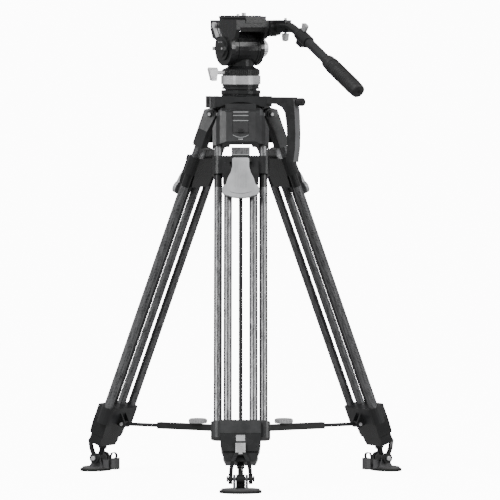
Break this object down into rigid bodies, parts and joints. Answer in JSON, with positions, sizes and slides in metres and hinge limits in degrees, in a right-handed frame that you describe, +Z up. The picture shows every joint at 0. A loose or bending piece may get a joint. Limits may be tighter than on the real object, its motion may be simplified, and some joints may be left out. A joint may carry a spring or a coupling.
{
  "type": "video tripod with fluid head",
  "caption": "Video tripod with twin-tube telescoping legs, mid-level spreader, bowl-mounted fluid pan and tilt head, sliding camera plate and pan bar.",
  "frame": {"origin": "on the floor, under the centre of the outline of the spread tripod", "axes": "+Z up; the front leg points to -Y; +X to the right seen from the front"},
  "size_m": [0.6272, 0.5538, 0.896],
  "materials": {
    "casting": "dark grey cast alloy with a fine painted texture",
    "black_plastic": "black satin plastic and painted alloy",
    "carbon": "carbon tube with a fine wave in its weave, satin lacquer",
    "silver": "light anodised alloy, finely blasted",
    "lever_grey": "light grey moulded plastic",
    "foot_metal": "mid grey painted alloy over a rubber sole",
    "rubber": "black ribbed rubber",
    "vial": "clear bubble vial"
  },
  "bodies": {
    "crown_body": {"crown": "casting", "side_port": "black_plastic", "carry_handle": "black_plastic"},
    "handle_knob_body": {"handle_knob": "black_plastic"},
    "level_rocker": {"clamp_dish": "silver"},
    "half_ball_body": {"half_ball": "black_plastic", "base_ring": "black_plastic"},
    "tie_down": {"tie_down_knob": "black_plastic"},
    "drag_ring": {"pan_drag_ring": "silver"},
    "pan_body": {"tilt_housing": "black_plastic"},
    "pan_lock": {"pan_lock_knob": "silver"},
    "tilt_body": {"tilt_cradle": "black_plastic", "bar_clamp": "black_plastic", "bubble_level": "vial"},
    "dial": {"balance_dial": "black_plastic"},
    "tilt_knob": {"tilt_drag_knob": "silver"},
    "plate": {"camera_plate": "black_plastic"},
    "screw_large": {"camera_screw_large": "silver"},
    "screw_small": {"camera_screw_small": "silver"},
    "plate_lever": {"plate_lock_lever": "silver"},
    "catch": {"plate_catch": "black_plastic"},
    "bar": {"pan_bar_arm": "black_plastic"},
    "clamp_knob": {"bar_clamp_knob": "silver"},
    "joint_knob": {"bar_joint_knob": "silver"},
    "bar_extension": {"pan_bar_tube": "black_plastic", "pan_bar_grip": "rubber"},
    "hub": {"spreader_hub": "black_plastic"},
    "front_leg": {"front_hip": "casting", "front_upper_tubes": "carbon", "front_mid_bracket": "casting"},
    "front_lever": {"front_release_lever": "lever_grey"},
    "front_control": {"front_control_rod": "black_plastic"},
    "front_middle": {"front_middle_stage": "carbon"},
    "front_lower": {"front_lower_stage": "carbon"},
    "front_foot": {"front_foot_pad": "foot_metal"},
    "front_yoke": {"front_foot_yoke": "black_plastic"},
    "front_arm_rod": {"front_spreader_rod": "black_plastic"},
    "front_arm_channel": {"front_spreader_channel": "black_plastic"},
    "right_leg": {"right_hip": "casting", "right_upper_tubes": "carbon", "right_mid_bracket": "casting"},
    "right_lever": {"right_release_lever": "lever_grey"},
    "right_control": {"right_control_rod": "black_plastic"},
    "right_middle": {"right_middle_stage": "carbon"},
    "right_lower": {"right_lower_stage": "carbon"},
    "right_foot": {"right_foot_pad": "foot_metal"},
    "right_yoke": {"right_foot_yoke": "black_plastic"},
    "right_arm_rod": {"right_spreader_rod": "black_plastic"},
    "right_arm_channel": {"right_spreader_channel": "black_plastic"},
    "left_leg": {"left_hip": "casting", "left_upper_tubes": "carbon", "left_mid_bracket": "casting"},
    "left_lever": {"left_release_lever": "lever_grey"},
    "left_control": {"left_control_rod": "black_plastic"},
    "left_middle": {"left_middle_stage": "carbon"},
    "left_lower": {"left_lower_stage": "carbon"},
    "left_foot": {"left_foot_pad": "foot_metal"},
    "left_yoke": {"left_foot_yoke": "black_plastic"},
    "left_arm_rod": {"left_spreader_rod": "black_plastic"},
    "left_arm_channel": {"left_spreader_channel": "black_plastic"}
  },
  "joints": [
    {"name": "handle_knob_turn", "type": "hinge", "parent": "crown_body", "child": "handle_knob_body", "pos_m": [0.11258, 0.01211, 0.7255], "axis": [0.866, -0.5, 0], "continuous": true},
    {"name": "level_x", "type": "hinge", "parent": "crown_body", "child": "level_rocker", "pos_m": [0, 0.07711, 0.739], "axis": [1, 0, 0], "range_deg": [-7, 7]},
    {"name": "level_y", "type": "hinge", "parent": "level_rocker", "child": "half_ball_body", "pos_m": [0, 0.07711, 0.739], "axis": [0, 1, 0], "range_deg": [-7, 7]},
    {"name": "tie_down_turn", "type": "hinge", "parent": "half_ball_body", "child": "tie_down", "pos_m": [0, 0.07711, 0.677], "axis": [0, 0, 1], "continuous": true},
    {"name": "drag_ring_turn", "type": "hinge", "parent": "half_ball_body", "child": "drag_ring", "pos_m": [0, 0.07711, 0.767], "axis": [0, 0, 1], "range_deg": [-60, 60]},
    {"name": "pan", "type": "hinge", "parent": "half_ball_body", "child": "pan_body", "pos_m": [0, 0.07711, 0.781], "axis": [0, 0, 1], "continuous": true},
    {"name": "pan_lock_turn", "type": "hinge", "parent": "pan_body", "child": "pan_lock", "pos_m": [-0.03897, 0.05461, 0.781], "axis": [-0.866, -0.5, 0], "range_deg": [-90, 90]},
    {"name": "tilt", "type": "hinge", "parent": "pan_body", "child": "tilt_body", "pos_m": [0, 0.07711, 0.8273], "axis": [0.866, 0.5, 0], "range_deg": [-60, 35]},
    {"name": "dial_turn", "type": "hinge", "parent": "tilt_body", "child": "dial", "pos_m": [-0.03637, 0.05611, 0.8273], "axis": [-0.866, -0.5, 0], "range_deg": [-120, 120]},
    {"name": "tilt_knob_turn", "type": "hinge", "parent": "tilt_body", "child": "tilt_knob", "pos_m": [0.03897, 0.09961, 0.8273], "axis": [0.866, 0.5, 0], "range_deg": [-120, 120]},
    {"name": "plate_slide", "type": "slide", "parent": "tilt_body", "child": "plate", "axis": [0.5, -0.866, 0], "range_m": [-0.03, 0.03]},
    {"name": "screw_large_turn", "type": "hinge", "parent": "plate", "child": "screw_large", "pos_m": [0.00575, 0.06715, 0.886], "axis": [0, 0, 1], "continuous": true},
    {"name": "screw_small_turn", "type": "hinge", "parent": "plate", "child": "screw_small", "pos_m": [-0.0054, 0.08646, 0.886], "axis": [0, 0, 1], "continuous": true},
    {"name": "plate_lever_turn", "type": "hinge", "parent": "tilt_body", "child": "plate_lever", "pos_m": [-0.05051, 0.08259, 0.872], "axis": [0.866, 0.5, 0], "range_deg": [0, 50]},
    {"name": "catch_press", "type": "slide", "parent": "tilt_body", "child": "catch", "axis": [0, 0, -1], "range_m": [0, 0.003]},
    {"name": "bar_rosette", "type": "hinge", "parent": "tilt_body", "child": "bar", "pos_m": [0.06713, 0.07083, 0.866], "axis": [-0.866, -0.5, 0], "range_deg": [-15, 60]},
    {"name": "clamp_knob_turn", "type": "hinge", "parent": "bar", "child": "clamp_knob", "pos_m": [0.08563, 0.03879, 0.85], "axis": [0, 0, 1], "continuous": true},
    {"name": "joint_knob_turn", "type": "hinge", "parent": "bar", "child": "joint_knob", "pos_m": [0.1177, -0.01675, 0.85086], "axis": [0.2208, -0.3824, 0.8973], "continuous": true},
    {"name": "bar_extend", "type": "slide", "parent": "bar", "child": "bar_extension", "axis": [0.4486, -0.777, -0.4415], "range_m": [0, 0.08]},
    {"name": "hub_lift", "type": "slide", "parent": "crown_body", "child": "hub", "axis": [0, 0, 1], "range_m": [0, 0.11756]},
    {"name": "legs_fold", "type": "hinge", "parent": "crown_body", "child": "front_leg", "pos_m": [0, 0.03351, 0.701], "axis": [1, 0, 0], "range_deg": [0, 19]},
    {"name": "front_lever_open", "type": "hinge", "parent": "front_leg", "child": "front_lever", "pos_m": [0, -0.02851, 0.61649], "axis": [-1, 0, 0], "range_deg": [0, 60]},
    {"name": "front_control_rod_slide", "type": "slide", "parent": "front_leg", "child": "front_control", "axis": [0, -0.3714, -0.9285], "range_m": [0, 0.003]},
    {"name": "front_middle_extend", "type": "slide", "parent": "front_leg", "child": "front_middle", "axis": [0, -0.3714, -0.9285], "range_m": [0, 0.43]},
    {"name": "front_lower_extend", "type": "slide", "parent": "front_middle", "child": "front_lower", "axis": [0, -0.3714, -0.9285], "range_m": [0, 0.37]},
    {"name": "front_foot_tilt", "type": "hinge", "parent": "front_lower", "child": "front_foot", "pos_m": [0, -0.24191, 0.02558], "axis": [1, 0, 0], "range_deg": [-25, 25]},
    {"name": "front_yoke_open", "type": "hinge", "parent": "front_lower", "child": "front_yoke", "pos_m": [0, -0.24191, 0.02558], "axis": [1, 0, 0], "range_deg": [0, 60]},
    {"name": "front_arm_fold", "type": "hinge", "parent": "front_leg", "child": "front_arm_rod", "pos_m": [0, -0.18467, 0.09359], "axis": [1, 0, 0], "range_deg": [0, 66.58]},
    {"name": "front_arm_slide", "type": "slide", "parent": "front_arm_rod", "child": "front_arm_channel", "axis": [0, -1, 0], "range_m": [0, 0.0662]},
    {"name": "right_leg_fold", "type": "hinge", "parent": "crown_body", "child": "right_leg", "pos_m": [0.03776, 0.09891, 0.701], "axis": [-0.5, 0.866, 0], "range_deg": [0, 19]},
    {"name": "right_lever_open", "type": "hinge", "parent": "right_leg", "child": "right_lever", "pos_m": [0.09147, 0.12992, 0.61649], "axis": [0.5, -0.866, 0], "range_deg": [0, 60]},
    {"name": "right_control_rod_slide", "type": "slide", "parent": "right_leg", "child": "right_control", "axis": [0.3216, 0.1857, -0.9285], "range_m": [0, 0.003]},
    {"name": "right_middle_extend", "type": "slide", "parent": "right_leg", "child": "right_middle", "axis": [0.3216, 0.1857, -0.9285], "range_m": [0, 0.43]},
    {"name": "right_lower_extend", "type": "slide", "parent": "right_middle", "child": "right_lower", "axis": [0.3216, 0.1857, -0.9285], "range_m": [0, 0.37]},
    {"name": "right_foot_tilt", "type": "hinge", "parent": "right_lower", "child": "right_foot", "pos_m": [0.27628, 0.23662, 0.02558], "axis": [-0.5, 0.866, 0], "range_deg": [-25, 25]},
    {"name": "right_yoke_open", "type": "hinge", "parent": "right_lower", "child": "right_yoke", "pos_m": [0.27628, 0.23662, 0.02558], "axis": [-0.5, 0.866, 0], "range_deg": [0, 60]},
    {"name": "right_arm_fold", "type": "hinge", "parent": "right_leg", "child": "right_arm_rod", "pos_m": [0.22671, 0.208, 0.09359], "axis": [-0.5, 0.866, 0], "range_deg": [0, 66.58]},
    {"name": "right_arm_slide", "type": "slide", "parent": "right_arm_rod", "child": "right_arm_channel", "axis": [0.866, 0.5, 0], "range_m": [0, 0.0662]},
    {"name": "left_leg_fold", "type": "hinge", "parent": "crown_body", "child": "left_leg", "pos_m": [-0.03776, 0.09891, 0.701], "axis": [-0.5, -0.866, 0], "range_deg": [0, 19]},
    {"name": "left_lever_open", "type": "hinge", "parent": "left_leg", "child": "left_lever", "pos_m": [-0.09147, 0.12992, 0.61649], "axis": [0.5, 0.866, 0], "range_deg": [0, 60]},
    {"name": "left_control_rod_slide", "type": "slide", "parent": "left_leg", "child": "left_control", "axis": [-0.3216, 0.1857, -0.9285], "range_m": [0, 0.003]},
    {"name": "left_middle_extend", "type": "slide", "parent": "left_leg", "child": "left_middle", "axis": [-0.3216, 0.1857, -0.9285], "range_m": [0, 0.43]},
    {"name": "left_lower_extend", "type": "slide", "parent": "left_middle", "child": "left_lower", "axis": [-0.3216, 0.1857, -0.9285], "range_m": [0, 0.37]},
    {"name": "left_foot_tilt", "type": "hinge", "parent": "left_lower", "child": "left_foot", "pos_m": [-0.27628, 0.23662, 0.02558], "axis": [-0.5, -0.866, 0], "range_deg": [-25, 25]},
    {"name": "left_yoke_open", "type": "hinge", "parent": "left_lower", "child": "left_yoke", "pos_m": [-0.27628, 0.23662, 0.02558], "axis": [-0.5, -0.866, 0], "range_deg": [0, 60]},
    {"name": "left_arm_fold", "type": "hinge", "parent": "left_leg", "child": "left_arm_rod", "pos_m": [-0.22671, 0.208, 0.09359], "axis": [-0.5, -0.866, 0], "range_deg": [0, 66.58]},
    {"name": "left_arm_slide", "type": "slide", "parent": "left_arm_rod", "child": "left_arm_channel", "axis": [-0.866, 0.5, 0], "range_m": [0, 0.0662]}
  ],
  "couplings": [
    {"joint": "hub_lift", "follows": "legs_fold", "m_per_rad": 0.35392},
    {"joint": "front_control_rod_slide", "follows": "front_lever_open", "m_per_rad": 0.0026738},
    {"joint": "front_arm_fold", "follows": "legs_fold", "ratio": 3.5017},
    {"joint": "front_arm_slide", "follows": "legs_fold", "m_per_rad": 0.19903},
    {"joint": "right_leg_fold", "follows": "legs_fold", "ratio": 1},
    {"joint": "right_control_rod_slide", "follows": "right_lever_open", "m_per_rad": 0.0026738},
    {"joint": "right_arm_fold", "follows": "legs_fold", "ratio": 3.5017},
    {"joint": "right_arm_slide", "follows": "legs_fold", "m_per_rad": 0.19903},
    {"joint": "left_leg_fold", "follows": "legs_fold", "ratio": 1},
    {"joint": "left_control_rod_slide", "follows": "left_lever_open", "m_per_rad": 0.0026738},
    {"joint": "left_arm_fold", "follows": "legs_fold", "ratio": 3.5017},
    {"joint": "left_arm_slide", "follows": "legs_fold", "m_per_rad": 0.19903}
  ]
}
